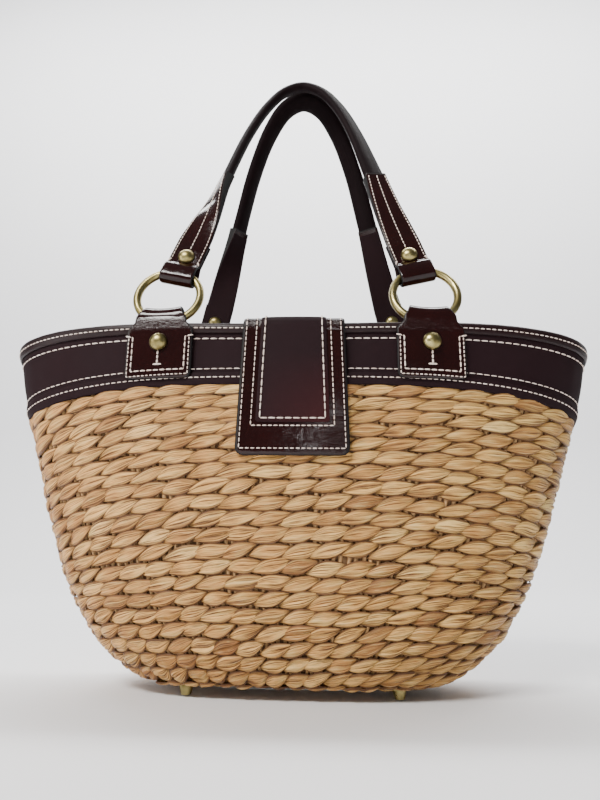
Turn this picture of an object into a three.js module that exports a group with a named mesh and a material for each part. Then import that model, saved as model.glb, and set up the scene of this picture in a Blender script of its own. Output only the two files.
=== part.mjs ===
// An oval straw basket bag: woven body, leather rim, closure flap, four ring tabs with rings,
// two strap handles and four feet. Millimetres, +Z up, front toward -Y.
// Everything is drawn with z = 0 at the top of the rim, and the whole bag is then lowered
// so that the origin is where the handles hang.
import * as THREE from 'three';

// Clearance between pieces that touch
const GAP = 0.3;

// Basket
const RIM_HALF_WIDTH = 195;
const RIM_HALF_DEPTH = 72;
const BASE_HALF_WIDTH = 93;
const BASE_HALF_DEPTH = 44;
const BASKET_HEIGHT = 209;
const PLAN_POWER = 2.7;
const WEAVE_WALL = 5;
const END_DROOP = 16;
const DROOP_POWER = 2.5;
const MIDDLE_SAG = 4.5;
const SAG_LEVEL = 90;

// Rim
const BAND_HEIGHT = 39;
const BAND_WALL = 1.8;
const BINDING_HEIGHT = 6;
const BINDING_WALL = 1.3;
const BINDING_ROUND = 0.8;
const TRIM_HEIGHT = 7.5;
const TRIM_WALL = 1.2;

// Closure flap
const FLAP_TOP_WIDTH = 60;
const FLAP_END_WIDTH = 66;
const FLAP_WALL = 2.6;
const FLAP_DROP = 84;
const FLAP_BACK_DROP = 34;
const FLAP_RISE = 6;
const FLAP_CORNER = 5;
const FLAP_RISE_SECTIONS = [
  { depth: 0.89, rise: 0.25 },
  { depth: 0.50, rise: 0.85 },
  { depth: 0.00, rise: 1.00 },
];
const PANEL_WALL = 1;
const PANEL_SIDE_MARGIN = 11;
const PANEL_END_MARGIN = 19;

// Rings and their tabs
const RING_OUTER_DIAMETER = 45;
const RING_WIRE_DIAMETER = 5;
const RING_X = 81;
const TAB_WIDTH = 41;
const TAB_FOLD_WIDTH = 22.5;
const TAB_FLARE = 7;
const TAB_DROP = 35;
const TAB_INNER_DROP = 30;
const TAB_WALL = 1.8;
const TAB_ARCH = 1.3;
const TAB_CORNER = 4;

// Handles
const HANDLE_HEIGHT = 230;
const HANDLE_WIDTH = 15;
const HANDLE_THICKNESS = 7.5;
const HANDLE_END_WIDTH = 22.5;
const HANDLE_SEAM_WIDTH = 16;
const HANDLE_SEAM_THICKNESS = 8;
const HANDLE_END_LENGTH = 112;
const HANDLE_LAYER = 2.2;
const HANDLE_RETURN = 26;

// Studs and feet
const STUD_DIAMETER = 11;
const STUD_HEIGHT = 4.2;
const TAB_STUD_DOWN = 13;
const HANDLE_STUD_UP = 12.5;
const FOOT_HEIGHT = 6.5;
const FOOT_TOP_DIAMETER = 10;
const FOOT_TIP_DIAMETER = 5.6;
const FOOT_COLLAR = 1.6;
const FOOT_WAIST = 0.85;
const FOOT_X = 61;
const FOOT_Y = 30;

// Facets
const PLAN_SIDES = 48;
const RING_SIDES = 24;
const WIRE_SIDES = 8;
const ROUND_SIDES = 10;
const DOME_SHARES = [0, 0.35, 0.7, 1];
const CORNER_SHARES = [0, 0.13, 0.5, 1];
const FLAP_TURN_SHARES = [0.33, 0.67, 1];
const FOLD_STEPS = 6;
const HANDLE_STEPS = 22;
const THICKEN_STEPS = 4;
const THICKEN_POWER = 0.7;
const LENGTH_STEPS = 400;
const HALVINGS = 40;

// The basket's outline: down is a share of its height, width and depth run from 1 at the rim to 0 at the base
const BODY_SECTIONS = [
  { down: 0.00, width: 1.000, depth: 1.000 },
  { down: 0.16, width: 0.931, depth: 0.950 },
  { down: 0.35, width: 0.794, depth: 0.875 },
  { down: 0.55, width: 0.654, depth: 0.786 },
  { down: 0.72, width: 0.515, depth: 0.696 },
  { down: 0.86, width: 0.348, depth: 0.536 },
  { down: 0.95, width: 0.165, depth: 0.265 },
  { down: 1.00, width: 0.000, depth: 0.000 },
];

// How far the rows hang down at the two ends: down is a share of the height, droop of END_DROOP
const DROOP_SECTIONS = [
  { down: 0.00, droop: 0.25 },
  { down: 0.19, droop: 0.97 },
  { down: 0.57, droop: 1.00 },
  { down: 0.78, droop: 0.31 },
  { down: 1.00, droop: 0.00 },
];

// Half of the handle's arch, from the ring to the apex: rise is a share of the way up from the
// ring's centre to the apex, spread a share of RING_X
const ARCH_SECTIONS = [
  { rise: 0.000, spread: 1.000 },
  { rise: 0.156, spread: 0.892 },
  { rise: 0.346, spread: 0.758 },
  { rise: 0.536, spread: 0.636 },
  { rise: 0.730, spread: 0.497 },
  { rise: 0.880, spread: 0.340 },
  { rise: 0.970, spread: 0.176 },
];

// How far the handle's outer face has turned from facing out to facing up, in degrees
const TWIST_SECTIONS = [
  { along: 0.00, twist: 0 },
  { along: 0.10, twist: 0 },
  { along: 0.22, twist: 56 },
  { along: 0.34, twist: 62 },
  { along: 0.50, twist: 48 },
  { along: 0.66, twist: 38 },
  { along: 0.78, twist: 12 },
  { along: 0.90, twist: 0 },
  { along: 1.00, twist: 0 },
];

// Cross-sections of the straps: across is a share of the half width, thick of the thickness
const FLAT_SECTION = [
  { across: -1.00, thick: 0.5 },
  { across: -0.85, thick: 1.0 },
  { across: 0.00, thick: 1.0 },
  { across: 0.85, thick: 1.0 },
  { across: 1.00, thick: 0.5 },
];
const ROLLED_SECTION = [
  { across: -1.00, thick: 0.35 },
  { across: -0.65, thick: 0.85 },
  { across: 0.00, thick: 1.00 },
  { across: 0.65, thick: 0.85 },
  { across: 1.00, thick: 0.35 },
];

// Sizes that follow from the ones above
const RECESS = BAND_WALL + GAP;
const BINDING_LIFT = BINDING_WALL + GAP;
const PROUD = GAP + Math.max(BINDING_WALL, TRIM_WALL) + GAP;
const RIM_INSIDE = RECESS + WEAVE_WALL + GAP + BINDING_WALL;
const WIRE_RADIUS = RING_WIRE_DIAMETER / 2;
const RING_RADIUS = RING_OUTER_DIAMETER / 2 - WIRE_RADIUS;
const QUARTER_TURN = 90;
const SIDES = [{ name: 'front', sign: -1 }, { name: 'back', sign: 1 }];
const HANDS = [{ name: 'left', sign: -1 }, { name: 'right', sign: 1 }];

const leather = (color, roughness) => new THREE.MeshStandardMaterial({ color, roughness, metalness: 0 });
const material = {
  straw: new THREE.MeshStandardMaterial({ color: 0xc8a873, roughness: 0.75, metalness: 0 }),
  matte: leather(0x35222a, 0.6),
  patent: leather(0x2c1012, 0.18),
  brass: new THREE.MeshStandardMaterial({ color: 0x96885a, roughness: 0.35, metalness: 1 }),
};

// Smooth curve through the values of one column of a table
function smooth(table, at, key, where) {
  const last = table.length - 1;
  let i = 0;
  while (i < last - 1 && where > table[i + 1][at]) i += 1;
  const slope = (k) => {
    const low = table[Math.max(k - 1, 0)];
    const high = table[Math.min(k + 1, last)];
    const turns = (table[k][key] - low[key]) * (high[key] - table[k][key]) <= 0;
    return turns && k > 0 && k < last ? 0 : (high[key] - low[key]) / (high[at] - low[at]);
  };
  const span = table[i + 1][at] - table[i][at];
  const t = THREE.MathUtils.clamp((where - table[i][at]) / span, 0, 1);
  const from = (1 + 2 * t) * (1 - t) ** 2 * table[i][key] + t * t * (3 - 2 * t) * table[i + 1][key];
  const bend = t * (1 - t) ** 2 * slope(i) - t * t * (1 - t) * slope(i + 1);
  return from + span * bend;
}

const halfWidth = (down) => BASE_HALF_WIDTH
  + (RIM_HALF_WIDTH - BASE_HALF_WIDTH) * smooth(BODY_SECTIONS, 'down', 'width', down / BASKET_HEIGHT);
const halfDepth = (down) => BASE_HALF_DEPTH
  + (RIM_HALF_DEPTH - BASE_HALF_DEPTH) * smooth(BODY_SECTIONS, 'down', 'depth', down / BASKET_HEIGHT);
const droop = (level) => END_DROOP * smooth(DROOP_SECTIONS, 'down', 'droop', level / BASKET_HEIGHT);

const sag = (level) => MIDDLE_SAG * Math.max(0, 1 - level / SAG_LEVEL);

// A point of the outer surface: angle goes round the plan, level is the depth below the rim before
// the ends droop and the middle sags, and offset moves the point straight out
function wallPoint(angle, level, offset) {
  const c = Math.cos(angle);
  const s = Math.sin(angle);
  const power = 2 / PLAN_POWER;
  const across = Math.abs(c) ** power;
  const down = level + droop(level) * across ** DROOP_POWER + sag(level) * (1 - across ** 2) ** 3;
  const a = halfWidth(Math.min(down, BASKET_HEIGHT));
  const b = halfDepth(Math.min(down, BASKET_HEIGHT));
  const out = new THREE.Vector3(
    Math.sign(c) * Math.abs(c) ** (2 - power) / a,
    Math.sign(s) * Math.abs(s) ** (2 - power) / b,
    0,
  ).normalize();
  return new THREE.Vector3(
    a * Math.sign(c) * across,
    b * Math.sign(s) * Math.abs(s) ** power,
    -down,
  ).addScaledVector(out, offset);
}

// The angle at which the surface has a given x, on the front
function frontAngle(x, level) {
  let low = Math.PI;
  let high = 2 * Math.PI;
  for (let i = 0; i < HALVINGS; i += 1) {
    const middle = (low + high) / 2;
    if (wallPoint(middle, level, 0).x < x) low = middle;
    else high = middle;
  }
  return (low + high) / 2;
}

function planRing(level, offset) {
  const ring = [];
  for (let i = 0; i < PLAN_SIDES; i += 1) {
    ring.push(wallPoint((i / PLAN_SIDES) * 2 * Math.PI, level, offset));
  }
  return ring;
}

// Closed surface over rows of points, each row a loop. The rows close on themselves with wrap,
// and otherwise the first and last are covered by a fan.
function skin(rows, wrap = false) {
  const count = rows[0].length;
  const points = rows.flat();
  const index = [];
  const bands = wrap ? rows.length : rows.length - 1;
  for (let r = 0; r < bands; r += 1) {
    const next = ((r + 1) % rows.length) * count;
    for (let i = 0; i < count; i += 1) {
      const j = (i + 1) % count;
      const a = r * count + i;
      const b = r * count + j;
      index.push(a, b, next + j, a, next + j, next + i);
    }
  }
  if (!wrap) {
    for (const [row, flip] of [[0, true], [rows.length - 1, false]]) {
      const centre = points.length;
      const middle = new THREE.Vector3();
      rows[row].forEach((point) => middle.addScaledVector(point, 1 / count));
      points.push(middle);
      for (let i = 0; i < count; i += 1) {
        const a = row * count + i;
        const b = row * count + ((i + 1) % count);
        if (flip) index.push(centre, b, a);
        else index.push(centre, a, b);
      }
    }
  }
  return faceOut(points, index);
}

// Geometry of a closed body, with its faces turned to point out
function faceOut(points, index) {
  let volume = 0;
  for (let i = 0; i < index.length; i += 3) {
    const [a, b, c] = [points[index[i]], points[index[i + 1]], points[index[i + 2]]];
    volume += a.dot(new THREE.Vector3().crossVectors(b, c));
  }
  if (volume < 0) index.reverse();
  const geometry = new THREE.BufferGeometry().setFromPoints(points);
  geometry.setIndex(index);
  geometry.computeVertexNormals();
  return geometry;
}

// Closed strap through stations of a point, its lateral direction, width and thickness
function strap(stations, section) {
  const rows = stations.map((station, i) => {
    const before = stations[Math.max(i - 1, 0)].point;
    const after = stations[Math.min(i + 1, stations.length - 1)].point;
    const along = new THREE.Vector3().subVectors(after, before).normalize();
    const normal = station.normal || new THREE.Vector3().crossVectors(along, station.lateral).normalize();
    const place = (part, face) => {
      const lift = face * part.thick * station.thickness / 2 + (station.arch || 0) * part.across ** 2;
      return station.point.clone()
        .addScaledVector(station.lateral, part.across * station.width / 2)
        .addScaledVector(normal, lift);
    };
    const upper = section.map((part) => place(part, 1));
    const lower = section.map((part) => place(part, -1)).reverse();
    return [...upper, ...lower];
  });
  return skin(rows);
}

// The same points on the other side of the bag
function mirrorDepth(geometry) {
  const points = [];
  const position = geometry.getAttribute('position');
  for (let i = 0; i < position.count; i += 1) {
    points.push(new THREE.Vector3().fromBufferAttribute(position, i).multiply(new THREE.Vector3(1, -1, 1)));
  }
  return faceOut(points, Array.from(geometry.getIndex().array));
}

const bag = new THREE.Group();

function add(name, geometry, slot, place) {
  const mesh = new THREE.Mesh(geometry, material[slot].clone());
  mesh.name = name;
  if (place) {
    mesh.position.copy(place.point);
    mesh.quaternion.setFromUnitVectors(new THREE.Vector3(0, 0, 1), place.normal);
  }
  bag.add(mesh);
}

// Woven body: outside from the base up to the ledge under the band, over the top and down inside
function basketBody() {
  const ledge = BAND_HEIGHT + GAP;
  const levels = BODY_SECTIONS.map((row) => row.down * BASKET_HEIGHT).filter((level) => level > ledge + GAP);
  const outside = levels.reverse().map((level) => planRing(level, 0));
  outside.push(planRing(ledge + GAP, 0));
  const inside = [planRing(BINDING_LIFT, -RECESS - WEAVE_WALL)];
  inside.push(planRing(BINDING_HEIGHT, -RECESS - WEAVE_WALL));
  inside.push(planRing(ledge, -RECESS - WEAVE_WALL));
  const lower = levels.slice(1).reverse();
  lower.forEach((level) => inside.push(planRing(level, -WEAVE_WALL)));
  const floor = planRing(BASKET_HEIGHT, -WEAVE_WALL);
  floor.forEach((point) => { point.z += WEAVE_WALL; });
  return skin([
    ...outside,
    planRing(ledge, -RECESS),
    planRing(BINDING_LIFT, -RECESS),
    ...inside,
    floor,
  ]);
}

// A strip round the rim between two levels, with its inner face at offset from the band's face
function rimStrip(top, bottom, offset, wall) {
  const middle = (top + bottom) / 2;
  return skin([
    planRing(top, offset),
    planRing(top, offset + wall),
    planRing(middle, offset + wall),
    planRing(bottom, offset + wall),
    planRing(bottom, offset),
    planRing(middle, offset),
  ], true);
}

// Binding folded over the top edge
function rimBinding() {
  const outer = GAP + BINDING_WALL;
  return skin([
    planRing(BINDING_HEIGHT, GAP),
    planRing(BINDING_HEIGHT, outer),
    planRing(BINDING_ROUND, outer),
    planRing(0, outer - BINDING_ROUND),
    planRing(0, BINDING_ROUND - RIM_INSIDE),
    planRing(BINDING_ROUND, -RIM_INSIDE),
    planRing(BINDING_HEIGHT, -RIM_INSIDE),
    planRing(BINDING_HEIGHT, BINDING_WALL - RIM_INSIDE),
    planRing(BINDING_WALL, BINDING_WALL - RIM_INSIDE),
    planRing(BINDING_WALL, GAP),
  ], true);
}

// The flap's middle line, from its front end up, over the mouth and down the back band
function flapLine() {
  const out = PROUD + FLAP_WALL / 2;
  const face = (level) => {
    const down = level + sag(level);
    return new THREE.Vector3(0, -halfDepth(down) - out, -down);
  };
  const middle = (FLAP_DROP + BAND_HEIGHT) / 2;
  const front = [FLAP_DROP, middle, BAND_HEIGHT, BAND_HEIGHT / 2, BINDING_HEIGHT, BINDING_ROUND].map(face);
  const radius = GAP + BINDING_ROUND + FLAP_WALL / 2;
  const corner = FLAP_TURN_SHARES.map((share) => new THREE.Vector3(
    0,
    -RIM_HALF_DEPTH - out + radius * (1 - Math.cos(share * Math.PI / 2)),
    radius * Math.sin(share * Math.PI / 2) - BINDING_ROUND - MIDDLE_SAG,
  ));
  const over = FLAP_RISE_SECTIONS.map((row) => new THREE.Vector3(
    0,
    -row.depth * RIM_HALF_DEPTH,
    FLAP_WALL / 2 + GAP + row.rise * FLAP_RISE - MIDDLE_SAG,
  ));
  const half = [...front, ...corner, ...over];
  const back = half.slice(0, -1).reverse().filter((point) => point.z > FLAP_CORNER - FLAP_BACK_DROP);
  back.push(face(FLAP_BACK_DROP));
  back.forEach((point, i) => { back[i] = new THREE.Vector3(0, -point.y, point.z); });
  return new THREE.CatmullRomCurve3([...half, ...back], false, 'centripetal');
}

// Width of a strip with rounded corners, at a distance from its end
function cornerWidth(width, corner, fromEnd) {
  const into = Math.max(corner - fromEnd, 0);
  return width - 2 * (corner - Math.sqrt(Math.max(corner ** 2 - into ** 2, 0)));
}

// Stations of the flap, or of the panel that lies on it between its own two ends
function flapStations(panel) {
  const line = flapLine();
  const length = line.getLength();
  const panelEnd = length - PANEL_SIDE_MARGIN;
  const corner = CORNER_SHARES.map((share) => share * FLAP_CORNER);
  const places = [];
  corner.forEach((d) => places.push(d, PANEL_END_MARGIN + d, panelEnd - d, length - d));
  const lengths = line.getLengths(LENGTH_STEPS);
  const spans = line.points.length - 1;
  line.points.forEach((_, i) => places.push(lengths[Math.round((i / spans) * LENGTH_STEPS)]));
  const sorted = places.sort((a, b) => a - b).filter((place, i, all) => i === 0 || place - all[i - 1] > GAP);
  const from = panel ? PANEL_END_MARGIN : 0;
  const to = panel ? panelEnd : length;
  const margin = panel ? PANEL_SIDE_MARGIN : 0;
  const lift = panel ? (FLAP_WALL + PANEL_WALL) / 2 + GAP : 0;
  return sorted.filter((place) => place > from - GAP / 2 && place < to + GAP / 2).map((place) => {
    const share = THREE.MathUtils.clamp(place / length, 0, 1);
    const tangent = line.getTangentAt(share);
    const normal = new THREE.Vector3(0, -tangent.z, tangent.y);
    const widen = Math.max(0, (FLAP_DROP - place) / FLAP_DROP);
    const width = FLAP_TOP_WIDTH + (FLAP_END_WIDTH - FLAP_TOP_WIDTH) * widen - 2 * margin;
    return {
      point: line.getPointAt(share).addScaledVector(normal, lift),
      normal,
      lateral: new THREE.Vector3(1, 0, 0),
      width: cornerWidth(width, FLAP_CORNER, Math.min(place - from, to - place)),
      thickness: panel ? PANEL_WALL : FLAP_WALL,
    };
  });
}

// The place on the front rim where a ring's tab sits: directions and the ring's lowest point
function tabFrame(hand) {
  const angle = frontAngle(hand * RING_X, 0);
  const rim = wallPoint(angle, 0, 0);
  const outward = wallPoint(angle, 0, 1).sub(rim);
  const lateral = new THREE.Vector3(-outward.y, outward.x, 0);
  const middle = (GAP + BINDING_WALL - RIM_INSIDE) / 2;
  const wire = rim.clone().addScaledVector(outward, middle);
  wire.z += GAP + WIRE_RADIUS;
  return { angle, outward, lateral, middle, rim, wire };
}

// Lean of the handle and ring toward the middle of the bag
function handleLean() {
  const { wire } = tabFrame(1);
  const apexY = -(HANDLE_WIDTH / 2 + GAP);
  return Math.atan2(apexY - wire.y, HANDLE_HEIGHT - wire.z);
}

// Tab: outer patch, fold over the ring, and inner patch
function ringTab(hand) {
  const frame = tabFrame(hand);
  const lean = handleLean();
  const reach = (PROUD + RIM_INSIDE + GAP + TAB_WALL) / 2;
  const centre = reach - RIM_INSIDE - GAP - TAB_WALL / 2;
  const side = Math.sqrt(RING_RADIUS ** 2 - (TAB_FOLD_WIDTH / 2) ** 2);
  const wireZ = frame.wire.z + (RING_RADIUS - side) * Math.cos(lean);
  const shift = (RING_RADIUS - side) * Math.sin(lean) + TAB_FOLD_WIDTH / 2 * Math.abs(frame.outward.x);
  const room = reach - TAB_WALL / 2 - GAP - WIRE_RADIUS * RING_RADIUS / side;
  const spring = wireZ - Math.sqrt(Math.max(room ** 2 - shift ** 2, 0)) - TAB_ARCH;
  const stations = [];
  const put = (point, width, arch) => stations.push({
    point,
    lateral: frame.lateral.clone().negate(),
    width,
    thickness: TAB_WALL,
    arch,
  });
  // A leg lies along the wall and bends with it
  const leg = (offset, down, drop, face) => {
    const flare = THREE.MathUtils.clamp(down / TAB_FLARE, 0, 1);
    const width = TAB_FOLD_WIDTH + (TAB_WIDTH - TAB_FOLD_WIDTH) * flare;
    const [left, middle, right] = [-width / 2, 0, width / 2]
      .map((x) => wallPoint(frontAngle(hand * RING_X + x, down), down, offset));
    const bend = middle.clone().sub(left.add(right).multiplyScalar(0.5)).dot(frame.outward);
    put(middle, cornerWidth(width, TAB_CORNER, drop - down), -face * bend);
  };
  const cornerDown = TAB_DROP - TAB_CORNER;
  const outerDowns = [TAB_DROP, cornerDown + TAB_CORNER * 2 / 3, cornerDown, TAB_STUD_DOWN, TAB_FLARE, 0];
  outerDowns.forEach((down) => leg(centre + reach, down, TAB_DROP, 1));
  for (let i = 0; i <= FOLD_STEPS; i += 1) {
    const turn = (i / FOLD_STEPS) * Math.PI;
    const point = frame.rim.clone().addScaledVector(frame.outward, centre + reach * Math.cos(turn));
    point.z = spring + reach * Math.sin(turn);
    put(point, TAB_FOLD_WIDTH, TAB_ARCH * Math.sin(turn));
  }
  const innerDowns = [0, TAB_FLARE, TAB_INNER_DROP - TAB_CORNER, TAB_INNER_DROP];
  innerDowns.forEach((down) => leg(centre - reach, down, TAB_INNER_DROP, -1));
  return strap(stations, FLAT_SECTION);
}

// Middle line of the front handle, from the left ring's centre over the apex to the right one
function handleLine() {
  const lean = handleLean();
  const { wire } = tabFrame(1);
  const ringZ = wire.z + RING_RADIUS * Math.cos(lean);
  const half = ARCH_SECTIONS.map((row) => {
    const z = ringZ + row.rise * (HANDLE_HEIGHT - ringZ);
    return new THREE.Vector3(row.spread * wire.x, wire.y + (z - wire.z) * Math.tan(lean), z);
  });
  const apex = new THREE.Vector3(0, wire.y + (HANDLE_HEIGHT - wire.z) * Math.tan(lean), HANDLE_HEIGHT);
  const left = half.map((point) => new THREE.Vector3(-point.x, point.y, point.z));
  return new THREE.CatmullRomCurve3([...left, apex, ...half.reverse()], false, 'centripetal');
}

// Point and directions of the front handle at a distance along its line
function handleFrame(line, distance) {
  const share = distance / line.getLength();
  const point = line.getPointAt(share);
  const along = line.getTangentAt(share);
  const degrees = smooth(TWIST_SECTIONS, 'along', 'twist', share);
  const twist = THREE.MathUtils.degToRad(degrees);
  const lean = handleLean() * (1 - degrees / QUARTER_TURN);
  const depth = new THREE.Vector3(0, Math.cos(lean), -Math.sin(lean));
  depth.addScaledVector(along, -depth.dot(along)).normalize();
  const outward = new THREE.Vector3().crossVectors(along, depth);
  const normal = depth.multiplyScalar(-Math.cos(twist)).addScaledVector(outward, Math.sin(twist));
  const lateral = new THREE.Vector3().crossVectors(normal, along).normalize();
  return { point, normal, lateral };
}

// Rolled middle of the handle between its two seams
function handleMiddle() {
  const line = handleLine();
  const from = HANDLE_END_LENGTH + GAP / 2;
  const to = line.getLength() - from;
  const stations = [];
  for (let i = 0; i <= HANDLE_STEPS; i += 1) {
    const frame = handleFrame(line, from + (i / HANDLE_STEPS) * (to - from));
    stations.push({ ...frame, width: HANDLE_WIDTH, thickness: HANDLE_THICKNESS });
  }
  return strap(stations, ROLLED_SECTION);
}

// Heights of the parts of a handle end, measured from the ring's centre
function endHeights() {
  const side = Math.sqrt(RING_RADIUS ** 2 - (HANDLE_END_WIDTH / 2) ** 2);
  const fold = side - WIRE_RADIUS * (RING_RADIUS / side - 1);
  const pocketTop = RING_RADIUS + WIRE_RADIUS + GAP;
  const sewn = pocketTop + 2 * HANDLE_LAYER;
  return { fold, pocketTop, sewn, stud: RING_RADIUS + HANDLE_STUD_UP, end: RING_RADIUS + HANDLE_RETURN };
}

// Flat end of the handle: down its face, round the ring's wire and up behind
function handleEnd(hand) {
  const line = handleLine();
  const heights = endHeights();
  const pocket = WIRE_RADIUS + GAP + HANDLE_LAYER / 2;
  const doubled = HANDLE_LAYER / 2 + GAP / 2;
  const seam = HANDLE_END_LENGTH - GAP / 2;
  const path = [];
  for (let i = 0; i <= THICKEN_STEPS; i += 1) {
    const t = i / THICKEN_STEPS;
    path.push({
      up: seam + t * (heights.end + HANDLE_LAYER - seam),
      off: t * doubled,
      wall: HANDLE_SEAM_THICKNESS + t ** THICKEN_POWER * (HANDLE_LAYER - HANDLE_SEAM_THICKNESS),
    });
  }
  path.push({ up: heights.stud, off: doubled, wall: HANDLE_LAYER });
  path.push({ up: heights.sewn, off: doubled, wall: HANDLE_LAYER });
  path.push({ up: heights.pocketTop, off: pocket, wall: HANDLE_LAYER });
  for (let i = 0; i <= FOLD_STEPS; i += 1) {
    const turn = (i / FOLD_STEPS) * Math.PI;
    path.push({
      up: heights.fold - pocket * Math.sin(turn),
      off: pocket * Math.cos(turn),
      wall: HANDLE_LAYER,
    });
  }
  path.push({ up: heights.pocketTop, off: -pocket, wall: HANDLE_LAYER });
  path.push({ up: heights.sewn, off: -doubled, wall: HANDLE_LAYER });
  path.push({ up: heights.end, off: -doubled, wall: HANDLE_LAYER });
  const stations = path.map((row) => {
    const distance = hand < 0 ? row.up : line.getLength() - row.up;
    const frame = handleFrame(line, distance);
    const taper = THREE.MathUtils.clamp((row.up - heights.end) / (seam - heights.end), 0, 1);
    return {
      point: frame.point.addScaledVector(frame.normal, row.off),
      lateral: frame.lateral,
      width: HANDLE_END_WIDTH + (HANDLE_SEAM_WIDTH - HANDLE_END_WIDTH) * taper,
      thickness: row.wall,
    };
  });
  return strap(stations, FLAT_SECTION);
}

function ring() {
  return new THREE.TorusGeometry(RING_RADIUS, WIRE_RADIUS, WIRE_SIDES, RING_SIDES);
}

function ringPlace(hand) {
  const { wire } = tabFrame(hand);
  const lean = handleLean();
  return {
    point: wire.clone().add(new THREE.Vector3(0, Math.sin(lean), Math.cos(lean)).multiplyScalar(RING_RADIUS)),
    normal: new THREE.Vector3(0, -Math.cos(lean), Math.sin(lean)),
  };
}

// Lathed body whose axis is Z, from a profile of radius and height
function turned(profile) {
  const geometry = new THREE.LatheGeometry(profile.map(([r, h]) => new THREE.Vector2(r, h)), ROUND_SIDES);
  return geometry.rotateX(Math.PI / 2);
}

function stud() {
  const radius = STUD_DIAMETER / 2;
  const rise = DOME_SHARES.map((share) => share * Math.PI / 2);
  const dome = rise.map((turn) => [radius * Math.cos(turn), STUD_HEIGHT * Math.sin(turn)]);
  dome[dome.length - 1][0] = 0;
  return turned([[0, 0], ...dome]);
}

function foot() {
  const top = FOOT_TOP_DIAMETER / 2;
  const tip = FOOT_TIP_DIAMETER / 2;
  const waist = FOOT_WAIST * top;
  const collar = [[waist, -FOOT_COLLAR], [top, -FOOT_COLLAR], [top, 0]];
  return turned([[0, -FOOT_HEIGHT], [tip, -FOOT_HEIGHT], ...collar, [0, 0]]);
}

// The other side's copy of a place
const backPlace = (place) => ({
  point: place.point.clone().multiply(new THREE.Vector3(1, -1, 1)),
  normal: place.normal.clone().multiply(new THREE.Vector3(1, -1, 1)),
});

add('basket_body', basketBody(), 'straw');
add('rim_band', rimStrip(BINDING_LIFT, BAND_HEIGHT, -BAND_WALL, BAND_WALL), 'matte');
add('rim_binding', rimBinding(), 'patent');
add('rim_lower_trim', rimStrip(BAND_HEIGHT - TRIM_HEIGHT, BAND_HEIGHT, GAP, TRIM_WALL), 'matte');
add('closure_flap', strap(flapStations(false), FLAT_SECTION), 'patent');
add('flap_panel', strap(flapStations(true), FLAT_SECTION), 'matte');

for (const side of SIDES) {
  const turn = (geometry) => (side.sign < 0 ? geometry : mirrorDepth(geometry));
  const put = (place) => (side.sign < 0 ? place : backPlace(place));
  add(`handle_${side.name}`, turn(handleMiddle()), 'matte');
  for (const hand of HANDS) {
    const name = `${side.name}_${hand.name}`;
    const frame = tabFrame(hand.sign);
    const line = handleLine();
    const up = endHeights().stud;
    const grip = handleFrame(line, hand.sign < 0 ? up : line.getLength() - up);
    const rise = HANDLE_LAYER + GAP / 2 + GAP;
    const patch = frame.rim.clone().setZ(frame.rim.z - TAB_STUD_DOWN)
      .addScaledVector(frame.outward, PROUD + TAB_WALL + GAP);
    add(`ring_tab_${name}`, turn(ringTab(hand.sign)), 'patent');
    add(`tab_stud_${name}`, stud(), 'brass', put({ point: patch, normal: frame.outward }));
    add(`ring_${name}`, ring(), 'brass', put(ringPlace(hand.sign)));
    add(`handle_end_${name}`, turn(handleEnd(hand.sign)), 'patent');
    add(`handle_stud_${name}`, stud(), 'brass', put({
      point: grip.point.clone().addScaledVector(grip.normal, rise),
      normal: grip.normal,
    }));
    add(`handle_stud_inner_${name}`, stud(), 'brass', put({
      point: grip.point.clone().addScaledVector(grip.normal, -rise),
      normal: grip.normal.clone().negate(),
    }));
    add(`foot_${name}`, foot(), 'brass', {
      point: new THREE.Vector3(hand.sign * FOOT_X, side.sign * FOOT_Y, -BASKET_HEIGHT - GAP),
      normal: new THREE.Vector3(0, 0, 1),
    });
  }
}

// The origin is on the underside of the handles' apex
bag.position.z = -(HANDLE_HEIGHT - HANDLE_THICKNESS / 2);

const root = new THREE.Group();
root.add(bag);

export default root;
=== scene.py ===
"""A straw basket bag hanging by its handles, with leather rim, flap and tabs, brass rings and feet."""
import math

import bpy
import numpy as np
from mathutils import Matrix


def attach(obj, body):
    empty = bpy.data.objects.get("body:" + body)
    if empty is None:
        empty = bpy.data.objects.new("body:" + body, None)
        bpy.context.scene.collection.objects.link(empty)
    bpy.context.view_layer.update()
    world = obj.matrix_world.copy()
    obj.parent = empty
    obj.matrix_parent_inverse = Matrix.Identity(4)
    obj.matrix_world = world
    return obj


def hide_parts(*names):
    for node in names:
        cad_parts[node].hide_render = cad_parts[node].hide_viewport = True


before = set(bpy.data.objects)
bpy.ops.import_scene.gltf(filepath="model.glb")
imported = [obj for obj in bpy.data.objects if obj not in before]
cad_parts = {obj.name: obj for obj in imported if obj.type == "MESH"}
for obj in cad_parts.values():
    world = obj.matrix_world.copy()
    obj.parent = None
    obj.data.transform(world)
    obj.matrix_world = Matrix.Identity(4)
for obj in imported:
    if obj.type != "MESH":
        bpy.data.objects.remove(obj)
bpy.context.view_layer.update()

# Sizes in millimetres, as in the solids, with z = 0 at the top of the rim
GAP = 0.3
RIM_HALF_WIDTH = 195
RIM_HALF_DEPTH = 72
BASE_HALF_WIDTH = 93
BASE_HALF_DEPTH = 44
BASKET_HEIGHT = 209
PLAN_POWER = 2.7
WEAVE_WALL = 5
END_DROOP = 16
DROOP_POWER = 2.5
MIDDLE_SAG = 4.5
SAG_LEVEL = 90
BAND_HEIGHT = 39
BAND_WALL = 1.8
BINDING_HEIGHT = 6
BINDING_WALL = 1.3
BINDING_ROUND = 0.8
TRIM_HEIGHT = 7.5
TRIM_WALL = 1.2
FLAP_TOP_WIDTH = 60
FLAP_END_WIDTH = 66
FLAP_WALL = 2.6
FLAP_DROP = 84
FLAP_BACK_DROP = 34
FLAP_RISE = 6
FLAP_CORNER = 5
PANEL_WALL = 1
PANEL_SIDE_MARGIN = 11
PANEL_END_MARGIN = 19
RING_OUTER_DIAMETER = 45
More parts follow.
